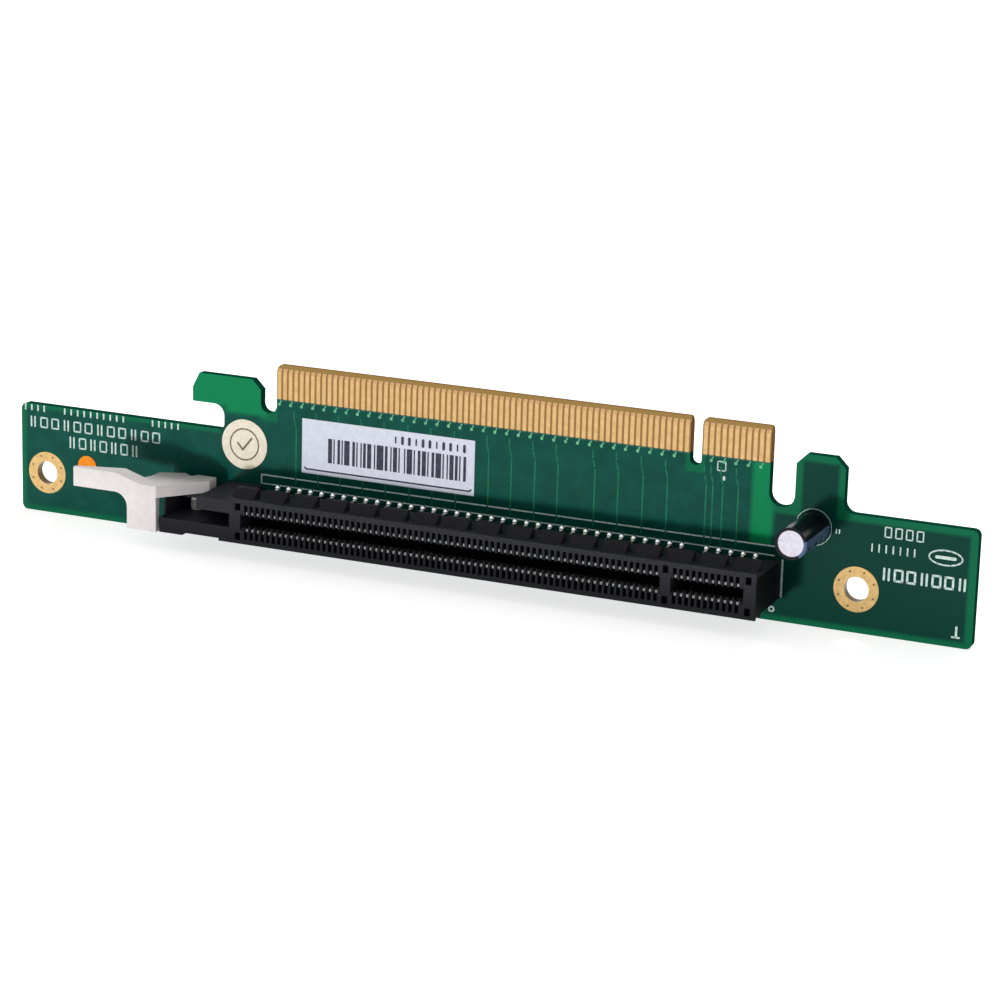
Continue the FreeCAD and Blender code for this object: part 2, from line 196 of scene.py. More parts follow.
def position(tree):
    """The surface's own X, Y and Z in metres, and the node that they come from."""
    coordinates = tree.nodes.new("ShaderNodeTexCoord")
    split = tree.nodes.new("ShaderNodeSeparateXYZ")
    tree.links.new(coordinates.outputs["Object"], split.inputs["Vector"])
    return split.outputs["X"], split.outputs["Y"], split.outputs["Z"], coordinates


def off_finger(tree, x):
    """How far a point lies from the middle of the nearest finger, as a share of the pitch."""
    turns = maths(tree, "DIVIDE", maths(tree, "SUBTRACT", x, key_x), pitch)
    return maths(tree, "ABSOLUTE", maths(tree, "SUBTRACT", maths(tree, "FRACT", turns), 0.5))


print("patterns are ready, with", round(half_finger / pitch, 2), "of the pitch as half a finger")

# %% [markdown]
# ## A shared grain
#
# No moulded, plated or printed surface is perfectly even. One node group makes fine noise and the bump
# that goes with it, and each material sets its own grain size and depth. The group puts out a value and
# a normal only, so any shader can use it.

# %% Build the grain group
grain = bpy.data.node_groups.new("fine grain", "ShaderNodeTree")
for name, kind, start in (("Size", "NodeSocketFloat", 1000.0), ("Depth", "NodeSocketFloat", 0.00001)):
    socket = grain.interface.new_socket(name, in_out="INPUT", socket_type=kind)
    socket.default_value = start
grain.interface.new_socket("Mottle", in_out="OUTPUT", socket_type="NodeSocketFloat")
grain.interface.new_socket("Normal", in_out="OUTPUT", socket_type="NodeSocketVector")
entry = grain.nodes.new("NodeGroupInput")
leave = grain.nodes.new("NodeGroupOutput")
where = grain.nodes.new("ShaderNodeTexCoord")
noise = grain.nodes.new("ShaderNodeTexNoise")
noise.inputs["Detail"].default_value = 3
noise.inputs["Roughness"].default_value = 0.6
bump = grain.nodes.new("ShaderNodeBump")
bump.inputs["Strength"].default_value = 1
grain.links.new(where.outputs["Object"], noise.inputs["Vector"])
grain.links.new(entry.outputs["Size"], noise.inputs["Scale"])
grain.links.new(entry.outputs["Depth"], bump.inputs["Distance"])
grain.links.new(noise.outputs["Fac"], bump.inputs["Height"])
grain.links.new(noise.outputs["Fac"], leave.inputs["Mottle"])
grain.links.new(bump.outputs["Normal"], leave.inputs["Normal"])


def grained(made, size, depth, light, dark):
    """Puts the grain on a material, with its colour between two shades. Returns the colour's output."""
    tree = made.node_tree
    group = tree.nodes.new("ShaderNodeGroup")
    group.node_tree = grain
    group.inputs["Size"].default_value = size
    group.inputs["Depth"].default_value = depth
    share = step_up(tree, group.outputs["Mottle"], 0.3, 0.7)
    colour = blend_colours(tree, share, dark, light)
    tree.links.new(group.outputs["Normal"], shader_of(made).inputs["Normal"])
    feed(tree, shader_of(made).inputs["Base Color"], colour)
    return colour


print("grain group has", len(grain.nodes), "nodes")

# %% [markdown]
# ## A soft rectangle
#
# Green solder mask looks dark over copper and bright where the copper was etched away. Those areas have
# straight sides with a slightly soft edge, so one node group makes such a rectangle, and it is placed
# once for each area. The group puts out a mask, and the material decides on the colour.

# %% Build the soft rectangle group
area = bpy.data.node_groups.new("soft rectangle", "ShaderNodeTree")
for name in ("X", "Z", "X low", "X high", "Z low", "Z high", "Edge"):
    area.interface.new_socket(name, in_out="INPUT", socket_type="NodeSocketFloat")
area.interface.new_socket("Mask", in_out="OUTPUT", socket_type="NodeSocketFloat")
entry = area.nodes.new("NodeGroupInput")
leave = area.nodes.new("NodeGroupOutput")
sides = []
for axis in ("X", "Z"):
    above = maths(area, "SUBTRACT", entry.outputs[axis], entry.outputs[axis + " low"])
    below = maths(area, "SUBTRACT", entry.outputs[axis + " high"], entry.outputs[axis])
    for distance in (above, below):
        share = maths(area, "DIVIDE", distance, entry.outputs["Edge"])
        centred = maths(area, "ADD", share, 0.5)
        centred.node.use_clamp = True
        sides.append(centred)
across = maths(area, "MULTIPLY", sides[0], sides[1])
along = maths(area, "MULTIPLY", sides[2], sides[3])
area.links.new(maths(area, "MULTIPLY", across, along), leave.inputs["Mask"])
print("rectangle group has", len(area.nodes), "nodes")

# %% [markdown]
# ## The board's colours
#
# A board is glass cloth in resin, which is brown where it is bare, under a thin green lacquer. The
# lacquer is blue-green over copper and clear green where there is none: on the hook tab, in the strip
# beside the capacitor, and more faintly along the outline. Towards the capacitor's end the lacquer is
# painted darker, as painted shade.

# %% Lacquer and laminate
mask_over_copper = linear(6, 78, 67)
mask_dark = linear(2, 68, 57)
# The darkest lacquer colour, used as painted shade towards the capacitor's end.
mask_painted_shade = linear(0, 56, 46)
mask_bare = linear(0, 124, 76)
mask_border = linear(2, 98, 66)
laminate = linear(150, 112, 68)
laminate_tip = linear(158, 126, 72)
cut_edge = linear(8, 70, 52)
finger_gold = linear(214, 172, 122)
bare_areas = [(-44.0, -30.9, 15.4, 21.5), (-37.0, -29.4, 14.6, 21.5), (53.7, 57.2, 4.9, 18.2)]
border_areas = [
    (-30.6, -27.4, 13.9, 18.2), (42.9, 45.9, 14.9, 17.9), (56.4, 61.4, 10.2, 13.2),
    (-76.5, -38.0, 10.9, 12.5), (-76.5, -74.9, -7.5, 12.5), (-76.5, -42.0, -7.5, -5.9),
    (56.0, 90.0, -7.5, -5.9), (88.0, 90.0, -7.5, 12.5), (68.0, 90.0, 10.5, 12.5),
    (60.0, 61.6, 11.0, 20.5), (67.3, 69.0, 10.5, 20.5), (60.0, 69.0, 18.8, 20.5),
]
print(len(bare_areas), "bare areas and", len(border_areas), "border areas, each as X and Z in mm")

# %% [markdown]
# ## Solder mask
#
# The material starts as lacquer over copper with a faint cloudiness, is painted darker towards the
# capacitor's end as painted shade, and then takes the lighter colours through the soft rectangles.

# %% Solder mask over copper, and bare of it
# Where the painted shade towards the capacitor's end begins, and where it is full.
painted_shade_starts = 50 * mm
painted_shade_full = 62 * mm
border_softness = 0.6
bare_softness = 0.9
board_shine = 0.1
board = material("solder mask", mask_over_copper, 0.2, specular=board_shine)
tree = board.node_tree
x, y, z, coordinates = position(tree)
colour = grained(board, 260.0, 0.000004, mask_over_copper, mask_dark)
# Painted shade: the mask is painted darker towards the capacitor's end.
colour = blend_colours(tree, step_up(tree, x, painted_shade_starts, painted_shade_full), colour, mask_painted_shade)
for places, softness, tone in ((border_areas, border_softness, mask_border),
                               (bare_areas, bare_softness, mask_bare)):
    covered = 0.0
    for x_low, x_high, z_low, z_high in places:
        group = tree.nodes.new("ShaderNodeGroup")
        group.node_tree = area
        for name, value in (("X", x), ("Z", z), ("X low", x_low * mm), ("X high", x_high * mm),
                            ("Z low", z_low * mm), ("Z high", z_high * mm), ("Edge", softness * mm)):
            feed(tree, group.inputs[name], value)
        covered = maths(tree, "MAXIMUM", covered, group.outputs["Mask"])
    colour = blend_colours(tree, covered, colour, tone)
print("solder mask has", len(tree.nodes), "nodes")

# %% [markdown]
# ## The tongue under the fingers
#
# Round the gold fingers the lacquer is left off, so brown laminate shows between them and on the sloped
# tip of the tongue. Each finger's plating runs a little way down that slope. The same count of fingers
# that places the contacts also places these stripes, so gold on the slope meets gold on the face.

# %% Laminate, sloped tip and plated stripes
tongue_left = -28.7 * mm
tongue_right = 57.3 * mm
mask_laps = 0.25 * mm
plating_runs_down = 0.5 * mm
tongue = maths(tree, "MULTIPLY", rise(tree, x, tongue_left, 0.1 * mm),
               flip(tree, rise(tree, x, tongue_right, 0.1 * mm)))
tongue = maths(tree, "MULTIPLY", tongue, rise(tree, z, fingers_low.z + mask_laps, 0.05 * mm))
colour = blend_colours(tree, tongue, colour, laminate)
tip = rise(tree, z, fingers_high.z + plating_runs_down, 0.05 * mm)
tip = maths(tree, "MULTIPLY", tip, tongue)
colour = blend_colours(tree, tip, colour, laminate_tip)
on_finger = maths(tree, "LESS_THAN", off_finger(tree, x), half_finger / pitch)
past_finger = step_up(tree, z, fingers_high.z - 0.01 * mm, fingers_high.z)
plated = maths(tree, "MULTIPLY", on_finger, flip(tree, tip))
plated = maths(tree, "MULTIPLY", plated, past_finger)
plated = maths(tree, "MULTIPLY", plated, tongue)
colour = blend_colours(tree, plated, colour, finger_gold)
print("tongue from", round(tongue_left / mm, 1), "to", round(tongue_right / mm, 1), "mm")

# %% [markdown]
# ## The board's cut edges
#
# A router cuts the outline, so the edges are matt: lacquer-green round the body and brown round the
# tongue. An edge is told from a face by its normal, which points along the board and not across it.

# %% Cut edges
normal = tree.nodes.new("ShaderNodeSeparateXYZ")
tree.links.new(coordinates.outputs["Normal"], normal.inputs["Vector"])
facing = step_up(tree, maths(tree, "ABSOLUTE", normal.outputs["Y"]), 0.15, 0.2)
colour = blend_colours(tree, facing, blend_colours(tree, tongue, cut_edge, laminate), colour)
feed(tree, shader_of(board).inputs["Base Color"], colour)
feed(tree, shader_of(board).inputs["Metallic"], maths(tree, "MULTIPLY", plated, facing))
feed(tree, shader_of(board).inputs["Specular IOR Level"], maths(tree, "MULTIPLY", facing, board_shine))
dress("circuit_board", board)
print("board material has", len(tree.nodes), "nodes")

# %% [markdown]
# ## Gold fingers
#
# Hard gold on the fingers is a little darker at each finger's sides, where the plating thins, and the
# solder mask laps over its root. Both follow from the place along the finger and across it, so all 164
# fingers share one material.

# %% Gold on the fingers
plating_thins_at = 0.2
rim_depth = 0.65
gold = material("finger gold", finger_gold, 0.3, metallic=1.0)
tree = gold.node_tree
x, y, z, coordinates = position(tree)
colour = grained(gold, 900.0, 0.000004, linear(206, 171, 121), linear(190, 156, 104))
rim = step_up(tree, off_finger(tree, x), plating_thins_at, half_finger / pitch)
colour = blend_colours(tree, maths(tree, "MULTIPLY", rim, rim_depth), colour, linear(158, 120, 74))
open_metal = step_up(tree, z, fingers_low.z + 0.2 * mm, fingers_low.z + 0.26 * mm)
colour = blend_colours(tree, open_metal, mask_over_copper, colour)
feed(tree, shader_of(gold).inputs["Base Color"], colour)
feed(tree, shader_of(gold).inputs["Metallic"], open_metal)
for name in ("edge_fingers_front", "edge_fingers_back"):
    dress(name, gold)
print("gold on the fingers, open metal above", round(fingers_low.z / mm + 0.2, 2), "mm")

# %% [markdown]
# ## Gold rings
#
# The rings round the screw holes are the same metal, evenly worn on both faces. Inside the hole the
# plating is dull and brown, so the barrel takes a second colour by its depth in the board.

# %% Gold on the rings
barrel_starts = 0.06 * mm
barrel_softness = 0.04 * mm
ring_gold = material("ring gold", finger_gold, 0.34, metallic=1.0)
tree = ring_gold.node_tree
x, y, z, coordinates = position(tree)
colour = grained(ring_gold, 1300.0, 0.00001, linear(214, 178, 120), linear(192, 160, 106))
barrel = maths(tree, "MULTIPLY", rise(tree, y, barrel_starts, barrel_softness),
               flip(tree, rise(tree, y, board_high.y - barrel_starts, barrel_softness)))
colour = blend_colours(tree, barrel, colour, linear(92, 76, 48))
feed(tree, shader_of(ring_gold).inputs["Base Color"], colour)
for name in ("screw_ring_left", "screw_ring_right"):
    dress(name, ring_gold)
print("gold on two rings, dull in their barrels")

# %% [markdown]
# ## Solder and tin
#
# Fresh solder is a bright, slightly uneven metal. The beads that show beside the slot take a lighter copy
# of it, a painted highlight for their glints, the cones on the far face are greyer, and the spring tabs
# are tin that has been rubbed dull.

# %% Solder and tin
tin = material("solder tin", linear(205, 208, 208), 0.28, metallic=1.0)
grained(tin, 1500.0, 0.00003, linear(225, 227, 226), linear(175, 180, 182))
# Painted highlight: a lighter copy of the solder colour, for the beads' glints.
tin_painted_highlight = material("tin with painted highlight", linear(236, 238, 236), 0.25, metallic=1.0)
grained(tin_painted_highlight, 1500.0, 0.000005, linear(252, 253, 252), linear(240, 242, 242))
tab_metal = material("tab metal", linear(150, 151, 152), 0.4, metallic=0.3)
grained(tab_metal, 2500.0, 0.000005, linear(162, 163, 165), linear(132, 133, 136))
soldered = [name for name in nodes if name.startswith("solder")] + ["capacitor_solder", "capacitor_leads"]
for name in soldered:
    dress(name, tin)
print("tin on", len(soldered), "pieces")

# %% [markdown]
# ## Contact springs
#
# Each contact is tinned at its two ends and painted dark between them: the dark bronze colour there is
# painted shade deep inside the slot. The depth behind the slot's mouth tells the ends from the middle, so
# one material covers all 164.

# %% Contact metal
# Where the painted shade deep inside the slot begins behind the tip, and where it stops before the tail.
painted_shade_front = -9.6 * mm
painted_shade_back = -2.0 * mm
contact_metal = material("contact metal", linear(210, 208, 200), 0.35, metallic=1.0)
tree = contact_metal.node_tree
x, y, z, coordinates = position(tree)
colour = grained(contact_metal, 2500.0, 0.00001, linear(225, 224, 218), linear(190, 188, 180))
tinned = maths(tree, "MAXIMUM", flip(tree, rise(tree, y, painted_shade_front, 0.3 * mm)),
               rise(tree, y, painted_shade_back, 0.2 * mm))
# Painted shade: the contact is painted dark bronze between its tinned ends.
colour = blend_colours(tree, tinned, linear(38, 32, 26), colour)
feed(tree, shader_of(contact_metal).inputs["Base Color"], colour)
springs = [name for name in nodes if name.startswith("contacts")]
for name in springs:
    dress(name, contact_metal)
print("contact metal on", len(springs), "rows")

# %% [markdown]
# ## Plastics
#
# The slot is black glass-filled plastic with almost no shine. Its colour is painted light: lighter towards
# its upper rail and darker low down, and darkest on its end face at +X, as painted shade. The latch is
# natural nylon, off-white and satin.

# %% Slot and latch plastics
black_plastic = material("slot plastic", linear(44, 44, 49), 0.5, specular=0.06)
tree = black_plastic.node_tree
x, y, z, coordinates = position(tree)
colour = grained(black_plastic, 3500.0, 0.00001, linear(54, 54, 60), linear(42, 42, 47))
# Painted light: the slot is painted darker low down and lighter towards its upper rail.
rail_painted_light = step_up(tree, z, housing_low.z, housing_high.z)
colour = blend_colours(tree, rail_painted_light, linear(30, 30, 34), colour)
# Painted shade: the end face at +X is painted darkest.
painted_shade_end = step_up(tree, x, housing_high.x - 0.02 * mm, housing_high.x - 0.01 * mm)
colour = blend_colours(tree, painted_shade_end, colour, linear(14, 16, 18))
feed(tree, shader_of(black_plastic).inputs["Base Color"], colour)
dress("slot_housing", black_plastic)
nylon = material("latch nylon", linear(226, 218, 216), 0.42, specular=0.35)
grained(nylon, 900.0, 0.000006, linear(227, 220, 220), linear(220, 213, 212))
dress("card_latch", nylon)
print("black plastic has", len(tree.nodes), "nodes")

# %% [markdown]
# ## The capacitor's can and bung
#
# An aluminium can, lightly brushed by its stamping, is closed by a black rubber bung at the board.

# %% Can and bung
can_metal = material("can aluminium", linear(222, 221, 228), 0.38, metallic=0.7)
grained(can_metal, 2200.0, 0.000008, linear(212, 210, 220), linear(196, 194, 204))
dress("capacitor_can", can_metal)
rubber = material("bung rubber", linear(34, 33, 32), 0.8)
grained(rubber, 2600.0, 0.00003, linear(40, 38, 37), linear(27, 26, 26))
dress("capacitor_bung", rubber)
print("can and bung")

# %% [markdown]
# ## The capacitor's sleeve
#
# The can wears a dark blue-black plastic sleeve with a pale stripe down its negative side, and short dark
# dashes in the stripe. The stripe is found from the angle round the can's own axis, so it needs no seam
# and no picture.

# %% Printed sleeve
stripe_middle = math.radians(-20)
stripe_half = math.radians(34)
dash_half = math.radians(7)
dash_pitch = 3.2 * mm
dash_share = 0.35
sleeve = material("can sleeve", linear(14, 18, 24), 0.2, specular=0.14)
tree = sleeve.node_tree
x, y, z, coordinates = position(tree)
colour = grained(sleeve, 900.0, 0.000006, linear(18, 23, 30), linear(10, 13, 18))
turn = maths(tree, "ARCTAN2", maths(tree, "SUBTRACT", z, can_z), maths(tree, "SUBTRACT", x, can_x))
off_stripe = maths(tree, "ABSOLUTE", maths(tree, "SUBTRACT", turn, stripe_middle))
in_dash = maths(tree, "LESS_THAN", maths(tree, "FRACT", maths(tree, "DIVIDE", y, dash_pitch)), dash_share)
dash = maths(tree, "MULTIPLY", in_dash, maths(tree, "LESS_THAN", off_stripe, dash_half))
stripe = maths(tree, "MULTIPLY", maths(tree, "LESS_THAN", off_stripe, stripe_half), flip(tree, dash))
colour = blend_colours(tree, stripe, colour, linear(78, 98, 128))
feed(tree, shader_of(sleeve).inputs["Base Color"], colour)
dress("capacitor_sleeve", sleeve)
print("sleeve with a stripe of", round(math.degrees(2 * stripe_half)), "degrees")

# %% [markdown]
# ## Papers
#
# The labels are coated paper with a faint fibre in it: cool white, warm cream and orange.

# %% Papers
white_paper = material("white paper", linear(214, 217, 230), 0.55, specular=0.3)
grained(white_paper, 1200.0, 0.000008, linear(217, 220, 233), linear(207, 210, 224))
dress("barcode_label", white_paper)
cream_paper = material("cream paper", linear(226, 218, 192), 0.6, specular=0.3)
grained(cream_paper, 1200.0, 0.000008, linear(240, 230, 210), linear(226, 216, 196))
dress("inspection_sticker", cream_paper)
orange_paper = material("orange paper", linear(240, 140, 30), 0.6, specular=0.3)
grained(orange_paper, 1200.0, 0.000008, linear(244, 146, 34), linear(230, 128, 24))
dress("dot_sticker", orange_paper)
print("three papers")

# %% [markdown]
# ## Inks and thin layers
#
# White ink is screened on the board, dark ink is printed on the labels, and the mask looks lighter over
# the shoulders of a trace and in the ring of a via.

# %% Inks, raised mask and small holes
silk_ink = material("silk ink", linear(205, 222, 216), 0.6, specular=0.3)
grained(silk_ink, 1800.0, 0.00001, linear(216, 232, 226), linear(170, 196, 188))
dark_ink = material("label ink", linear(62, 62, 76), 0.6, specular=0.2)
grained(dark_ink, 1800.0, 0.000005, linear(72, 72, 88), linear(50, 50, 62))
brown_ink = material("stamp ink", linear(124, 116, 96), 0.6, specular=0.2)
grained(brown_ink, 1800.0, 0.000005, linear(138, 130, 108), linear(108, 100, 82))
raised_mask = material("mask over traces", linear(26, 118, 84), 0.25, specular=0.15)
grained(raised_mask, 900.0, 0.000005, linear(26, 114, 86), linear(14, 96, 72))
via_mask = material("mask over vias", linear(96, 176, 130), 0.3, specular=0.3)
grained(via_mask, 1500.0, 0.000005, linear(112, 190, 142), linear(78, 158, 116))
hole_dark = material("via hole", linear(60, 44, 26), 0.6)
grained(hole_dark, 1800.0, 0.000005, linear(134, 106, 70), linear(108, 84, 54))
ink_thick = 0.02
print_thick = 0.01
print("inks", ink_thick, "and", print_thick, "mm thick")

# %% [markdown]
# ## Tools for modelling
#
# Operators act on whatever is selected, so each step starts by leaving edit mode and deselecting all.
# What repeats on the card is modelled once, and each copy gets its own mesh, so the copies can be joined.

# %% Helpers for selecting and copying
def begin():
    """Object mode with nothing selected."""
    if bpy.context.mode != "OBJECT":
        bpy.ops.object.mode_set(mode="OBJECT")
    bpy.ops.object.select_all(action="DESELECT")


def select(pieces):
    """Selects these pieces alone, the first of them active."""
    begin()
    for piece in pieces:
        piece.select_set(True)
    bpy.context.view_layer.objects.active = pieces[0]


def copies(first, places):
    """The first piece, and one copy with its own mesh at each further place, given as an offset."""
    made = [first]
    for place in places:
        twin = first.copy()
        twin.data = first.data.copy()
        bpy.context.scene.collection.objects.link(twin)
        twin.location = first.location + Vector(place)
        made.append(twin)
    return made


begin()
print(len(bpy.context.selected_objects), "pieces are still selected")

# %% [markdown]
# ## Finishing a piece
#
# A finished piece is one mesh with its place in its own points, its faces turned outwards, one material
# and a body to ride on. Doing this in one helper keeps every piece alike.

# %% Helper to finish a piece
def finish_piece(pieces, name, made, body):
    """Joins pieces into one, puts its place into its mesh, closes it, and hands it to its body."""
    select(pieces)
    if len(pieces) > 1:
        bpy.ops.object.join()
    whole = bpy.context.active_object
    bpy.ops.object.transform_apply(location=True, rotation=True, scale=True)
    bpy.ops.object.mode_set(mode="EDIT")
    bpy.ops.mesh.select_all(action="SELECT")
    bpy.ops.mesh.normals_make_consistent(inside=False)
    bpy.ops.object.mode_set(mode="OBJECT")
    whole.name = name
    whole.data.name = name
    whole.data.materials.clear()
    whole.data.materials.append(made)
    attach(whole, body)
    print(name, len(whole.data.polygons), "faces")


print("finish_piece is ready")

# %% [markdown]
# ## Strokes of ink and copper
#
# Ink has a thickness, if a small one. A stroke of it is a plane with its corners rounded, then pulled up
# from the surface, and a line or a ring is a row of strokes. A picture of the print would be flat, and a
# curve would have to be turned into a mesh.

# %% Helpers for strokes
def stroke(start, end, width, thick, surface=face, square=False):
    """One stroke of print lying on a flat face, from (x, z) to (x, z), in millimetres."""
    begin()
    (x0, z0), (x1, z1) = start, end
    length = math.hypot(x1 - x0, z1 - z0) + (0 if square else width)
    slant = math.atan2(z1 - z0, x1 - x0)
    middle = ((x0 + x1) / 2 * mm, surface, (z0 + z1) / 2 * mm)
    bpy.ops.mesh.primitive_plane_add(size=1, location=middle, rotation=(math.pi / 2, -slant, 0))
    piece = bpy.context.active_object
    piece.scale = (length * mm, width * mm, 1)
    bpy.ops.object.transform_apply(location=True, rotation=True, scale=True)
    bpy.ops.object.mode_set(mode="EDIT")
    if not square:
        bpy.ops.mesh.bevel(offset=min(width, length) * 0.45 * mm, segments=2, affect="VERTICES")
    bpy.ops.mesh.select_all(action="SELECT")
    bpy.ops.mesh.extrude_region_move(TRANSFORM_OT_translate={"value": (0, -thick * mm, 0)})
    bpy.ops.object.mode_set(mode="OBJECT")
    return piece


def path(points, width, thick, surface=face):
    """Strokes along a line of (x, z) points."""
    return [stroke(a, b, width, thick, surface) for a, b in zip(points, points[1:])]


def round_path(x, z, across, up, step):
    """Points round an ellipse, a step of degrees apart, back to the first."""
    return [(x + across * math.cos(math.radians(a)), z + up * math.sin(math.radians(a)))
            for a in range(0, 361, step)]


print("an ellipse in steps of 24 degrees has", len(round_path(0, 0, 1, 1, 24)), "points")

# %% [markdown]
# ## Pads and blocks
#
# Small round pads are short cylinders with a bevelled rim, and moulded or folded parts are blocks with
# softened edges. Even a tiny bevel matters, because a real edge always catches a line of light.

# %% Helpers for pads and blocks
def disc(x, y, z, radius, depth, sides, rim):
    """A flat pad across the board with a bevelled rim, in metres."""
    begin()
    bpy.ops.mesh.primitive_cylinder_add(vertices=sides, radius=radius, depth=depth, location=(x, y, z),
                                        rotation=(math.pi / 2, 0, 0))
    bpy.ops.object.mode_set(mode="EDIT")
    bpy.ops.mesh.bevel(offset=rim, segments=1, affect="EDGES")
    bpy.ops.object.mode_set(mode="OBJECT")
    return bpy.context.active_object


def soft_block(centre, size, edge):
    """A block with its edges rounded, in metres."""
    begin()
    bpy.ops.mesh.primitive_cube_add(size=1, location=centre)
    block = bpy.context.active_object
    block.scale = size
    bpy.ops.object.transform_apply(location=True, rotation=True, scale=True)
    bpy.ops.object.mode_set(mode="EDIT")
    bpy.ops.mesh.select_all(action="SELECT")
    bpy.ops.mesh.bevel(offset=edge, segments=2, affect="EDGES")
    bpy.ops.object.mode_set(mode="OBJECT")
    return block


print("disc and soft_block are ready")

# %% [markdown]
# ## Traces
#
# Traces run down from the fingers to the slot and jog once on the way. Copper is 35 micrometres thick,
# so each trace is a thin rounded stroke, and the mask over it looks lighter on its shoulders. Painted
# lines would lie flat and catch no light.

# %% Traces
copper_thick = 0.035
trace_width = 0.26
trace_top, jog_top, jog_foot, trace_foot = 16.2, 14.8, 13.4, 4.0
trace_x = [-24.0, -20.0, -16.0, -12.0, -7.9, -3.7, 0.3, 4.4, 10.0, 13.9,
           17.9, 21.8, 28.0, 31.9, 36.0, 40.0, 46.3, 47.4, 49.0, 51.5]
traces = []
for x in trace_x:
    bends = [(x - 0.45, trace_top), (x - 0.4, jog_top), (x, jog_foot), (x, trace_foot)]
    traces += path(bends, trace_width, copper_thick)
finish_piece(traces, "copper_traces", raised_mask, "card")

# %% [markdown]
# ## Vias under the fingers
#
# A small plugged via hangs under every second finger on a short neck. One via with its neck is modelled
# under the second finger and copied along the row, past the key notch.

# %% Vias
via_drop = 0.62 * mm
via_thick = 0.04 * mm
neck_width = 0.2
neck_across, neck_up = 0.35, 0.7
key_clearance = 1.9 * mm
via_x = contact_x[1]
via_z = fingers_low.z - via_drop
via = disc(via_x, face - via_thick / 2, via_z, 0.27 * mm, via_thick, 12, 0.015 * mm)
neck = stroke((via_x / mm, via_z / mm), (via_x / mm + neck_across, via_z / mm + neck_up),
              neck_width, copper_thick)
select([via, neck])
bpy.ops.object.join()
bpy.ops.object.transform_apply(location=True, rotation=True, scale=True)
offsets = [(x - via_x, 0, 0) for x in contact_x[3::2] if abs(x - key_x) > key_clearance]
finish_piece(copies(via, offsets), "finger_vias", via_mask, "card")

# %% [markdown]
# ## Silk screen outlines
#
# White ink outlines the slot and rings the capacitor, so that an assembler sees where each part goes.
# The outline is placed from the housing's box, and the ring from the can's.

# %% Outlines in silk
outline_left = housing_low.x / mm + 12.65
outline_right = housing_high.x / mm + 0.2
outline_top, outline_foot = 4.9, 3.45
lines = path([(outline_left, outline_foot), (outline_left, outline_top),
              (outline_right - 0.6, outline_top)], 0.24, ink_thick)
lines += path([(outline_left, outline_foot), (outline_right - 1.4, outline_foot)], 0.2, ink_thick)
lines += path([(outline_right, 2.9), (outline_right, -2.8)], 0.3, ink_thick)
lines += path(round_path(can_x / mm, can_z / mm, 2.85, 2.85, 15), 0.08, ink_thick)
lines += path(round_path(outline_right - 1.4, -5.0, 0.42, 0.42, 60), 0.24, ink_thick)
finish_piece(lines, "silk_outlines", silk_ink, "card")

# %% [markdown]
# ## Plain marks
#
# Where such a card carries words and numbers, this one has tally marks and empty frames of about the same
# weight, which say nothing. Each row is a loop over one small mark.

# %% Helpers for plain marks
def empty_frame(x, z, width, height, line=0.26):
    """Four strokes round an empty rectangle."""
    corners = [(x, z), (x + width, z), (x + width, z + height), (x, z + height), (x, z)]
    return path(corners, line, ink_thick)


def tally(x, z, count, height, gap, line=0.3):
    """A run of upright strokes."""
    return [stroke((x + i * gap, z), (x + i * gap, z + height), line, ink_thick) for i in range(count)]


def mixed_row(x, z, count, gap, height, width, every, inset, pair_gap, lines=(0.26, 0.3)):
    """Empty frames, with a pair of strokes in place of the first of every few."""
    row = []
    for i in range(count):
        if i % every:
            row += empty_frame(x + i * gap, z, width, height, lines[0])
        else:
            row += tally(x + i * gap + inset, z, 2, height, pair_gap, lines[1])
    return row


print("marks are", ink_thick, "mm thick")

# %% [markdown]
# ## Rows of marks
#
# Three rows stand above the latch: short strokes along the edge, a long row of frames, and a shorter one
# centred under it. They are only strokes so far, and are joined with the rows of the far end.

# %% Marks at the latch's end
left_marks = tally(-75.0, 10.55, 4, 0.8, 1.2) + tally(-67.4, 10.55, 10, 0.8, 1.25)
left_marks += tally(-50.6, 10.55, 5, 0.8, 1.2)
left_marks += mixed_row(-74.2, 7.75, 12, 2.15, 1.6, 1.25, 3, 0.3, 0.7)
left_marks += mixed_row(-66.6, 4.95, 7, 2.0, 1.7, 1.2, 2, 0.25, 0.7)
print(len(left_marks), "strokes at the latch's end")

# %% [markdown]
# ## Marks at the far end
#
# Round the right screw hole stand three more rows and a plain oval. A small square marks the short side
# of the fingers, and a single stroke on a foot marks the corner. All the marks become one piece of ink.

# %% Marks at the capacitor's end
right_marks = [piece for i in range(4) for piece in empty_frame(74.9 + i * 1.65, 8.75, 0.95, 1.5, 0.2)]
right_marks += tally(73.0, 6.3, 7, 1.1, 1.1, 0.22)
right_marks += path(round_path(84.4, 6.8, 2.6, 1.15, 24), 0.24, ink_thick)
right_marks += path([(83.0, 6.8), (85.8, 6.8)], 0.5, ink_thick)
right_marks += mixed_row(74.8, 2.15, 7, 1.95, 1.7, 1.2, 3, 0.3, 0.75, (0.34, 0.34))
right_marks += path([(86.7, -3.6), (86.7, -5.2)], 0.34, ink_thick)
right_marks += path([(86.1, -5.2), (87.2, -5.2)], 0.3, ink_thick)
right_marks += empty_frame(48.0, 15.6, 1.3, 1.4, 0.18) + tally(49.1, 14.3, 1, 0.3, 1.0, 0.4)
right_marks += tally(67.3, 8.3, 2, 0.6, 0.5, 0.18)
finish_piece(left_marks + right_marks, "silk_marks", silk_ink, "card")

# %% [markdown]
# ## Print on the white label
#
# The white label has bars in plain widths that encode nothing, a row of small blocks over them, and a
# thin dark line along its folded foot. The bars keep square ends, as a label printer leaves them.

